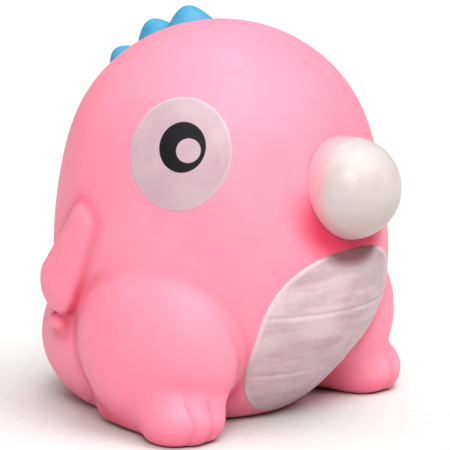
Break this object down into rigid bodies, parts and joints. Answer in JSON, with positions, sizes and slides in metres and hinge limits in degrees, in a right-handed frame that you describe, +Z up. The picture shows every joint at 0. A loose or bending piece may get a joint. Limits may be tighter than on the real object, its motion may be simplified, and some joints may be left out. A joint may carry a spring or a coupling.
{
  "type": "squeeze bubble toy",
  "caption": "Hollow soft dinosaur figure that swells a rubber bubble out of its mouth when its body is squeezed.",
  "frame": {"origin": "on the flat underside, on the middle plane, below the head", "axes": "+Z up, -Y is the way the toy faces, +X is the toy's left side"},
  "size_m": [0.0844, 0.0953, 0.091],
  "materials": {
    "pink_vinyl": "soft satin vinyl",
    "white_paint": "satin paint on vinyl",
    "black_paint": "satin paint on vinyl",
    "blue_paint": "satin paint on vinyl",
    "white_rubber": "thin stretched translucent rubber",
    "stiff_plastic": "plain moulded plastic"
  },
  "bodies": {
    "toy": {"body_skin": "pink_vinyl", "belly_field": "white_paint", "eye_white_left": "white_paint", "eye_white_right": "white_paint", "eye_pupil_left": "black_paint", "eye_pupil_right": "black_paint", "eye_glint_left": "white_paint", "eye_glint_right": "white_paint", "spike_1": "blue_paint", "spike_2": "blue_paint", "spike_3": "blue_paint", "spike_4": "blue_paint", "spike_5": "blue_paint", "spike_6": "blue_paint", "mouth_collar": "stiff_plastic", "neck_band": "stiff_plastic", "base_plug": "stiff_plastic"},
    "bubble": {"bubble": "white_rubber"}
  },
  "joints": [
    {"name": "bubble_swell", "type": "slide", "parent": "toy", "child": "bubble", "axis": [0, -1, 0], "range_m": [-0.014, 0], "stiffness_N_per_m": 20, "deforming": ["bubble"]}
  ]
}
